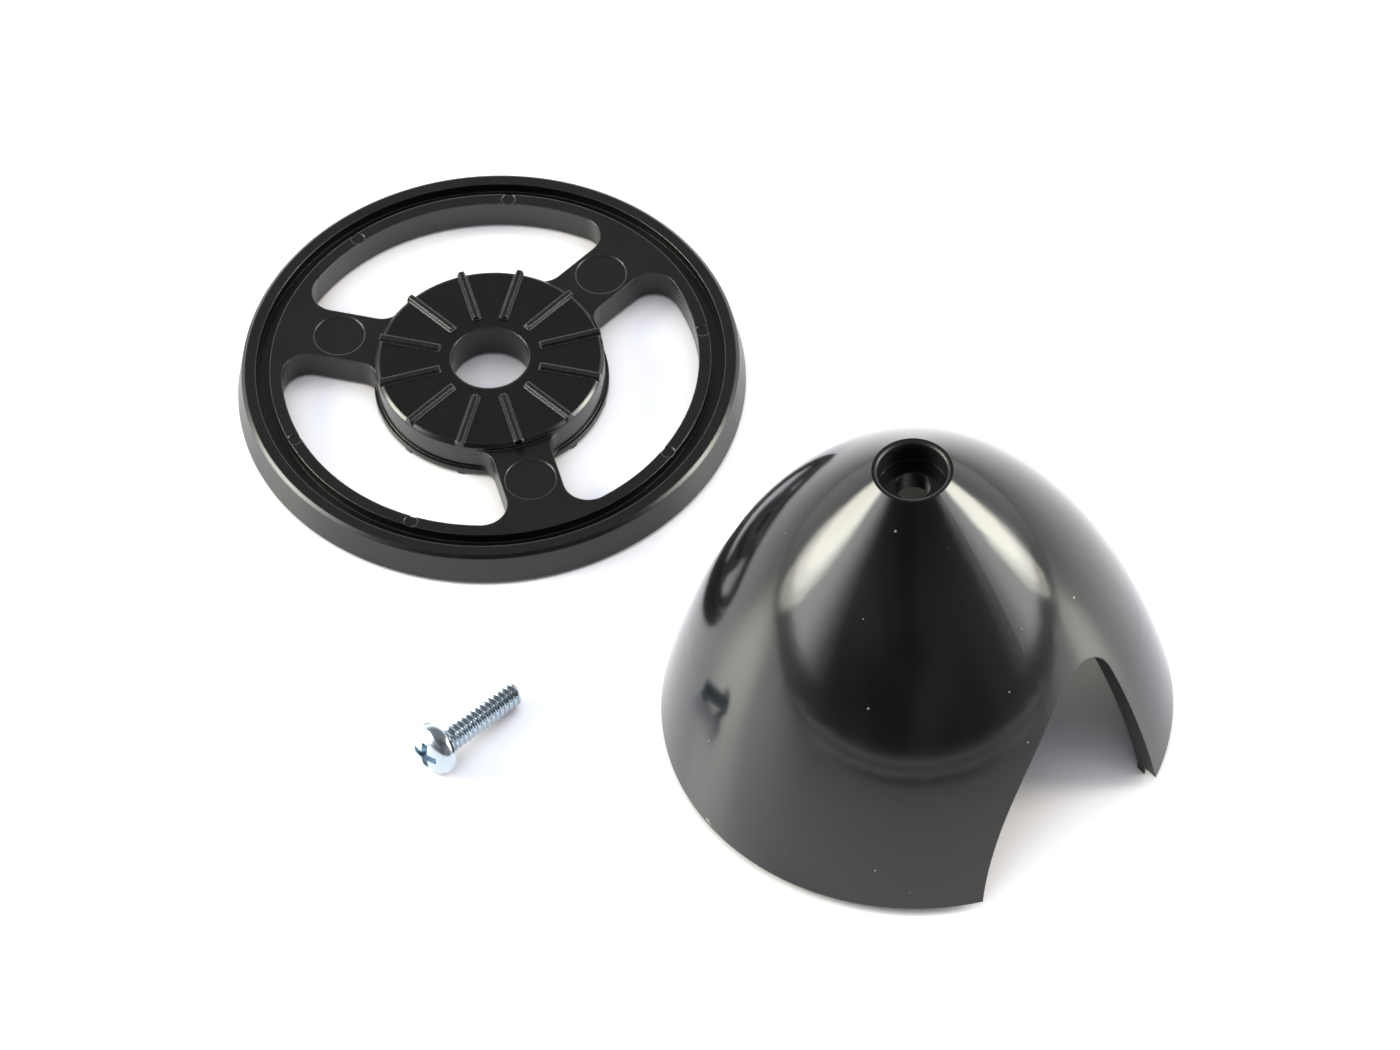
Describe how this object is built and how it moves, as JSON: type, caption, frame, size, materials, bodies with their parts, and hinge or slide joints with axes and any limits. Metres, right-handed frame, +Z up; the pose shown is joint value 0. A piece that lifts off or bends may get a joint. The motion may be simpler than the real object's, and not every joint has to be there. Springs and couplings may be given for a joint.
{
  "type": "propeller spinner",
  "caption": "Two-blade propeller spinner taken apart: ogive cone with slanted blade cut-outs, ribbed and windowed backplate, and the nose screw that holds them.",
  "frame": {"origin": "centre of the shaft bore at the rear face of the backplate's hub", "axes": "+Z up, along the bore toward the propeller side; the cone stands at +X -Y and the screw lies at -Y, each where the three pieces lie taken apart on one surface"},
  "size_m": [0.0922, 0.0954, 0.0375],
  "materials": {
    "backplate_plastic": "black moulded nylon, satin",
    "cone_plastic": "black moulded nylon, polished",
    "screw_plate": "bright zinc plate"
  },
  "bodies": {
    "root": {"backplate": "backplate_plastic", "spinner_cone": "cone_plastic", "nose_screw": "screw_plate"}
  },
  "joints": []
}
